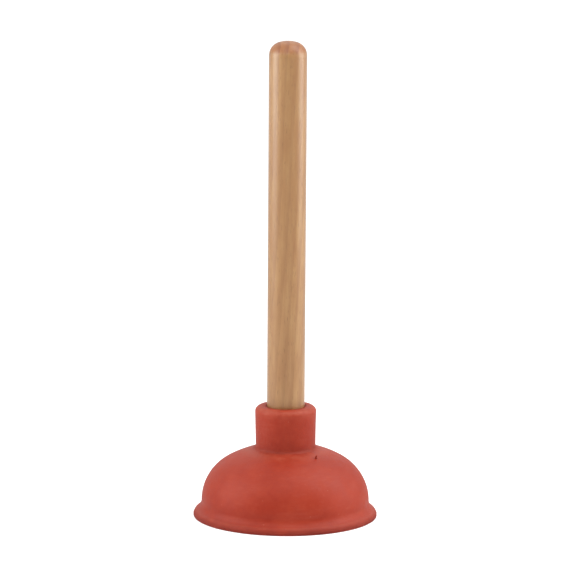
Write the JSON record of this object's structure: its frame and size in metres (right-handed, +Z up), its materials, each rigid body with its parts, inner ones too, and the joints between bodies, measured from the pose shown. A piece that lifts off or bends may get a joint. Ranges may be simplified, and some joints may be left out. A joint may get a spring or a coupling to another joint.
{
  "type": "sink plunger",
  "caption": "Sink plunger: a domed rubber cup with a flared sealing rim and a thick collar that holds a round wooden handle.",
  "frame": {"origin": "centre of the rim's flat sealing land, on the surface that the cup stands on", "axes": "+Z up along the handle; the shape is round about Z, so X and Y are free, with -Y towards the viewer"},
  "size_m": [0.108, 0.108, 0.282],
  "materials": {
    "cup_rubber": "matte",
    "handle_wood": "satin lacquer",
    "zinc_steel": "bright zinc plate"
  },
  "bodies": {
    "cup": {"rubber_cup": "cup_rubber"},
    "handle": {"wooden_handle": "handle_wood", "washer": "zinc_steel", "retaining_screw": "zinc_steel"}
  },
  "joints": [
    {"name": "plunge", "type": "slide", "parent": "cup", "child": "handle", "axis": [0, 0, 1], "range_m": [-0.02, 0.003], "stiffness_N_per_m": 2500, "deforming": ["rubber_cup"]}
  ]
}
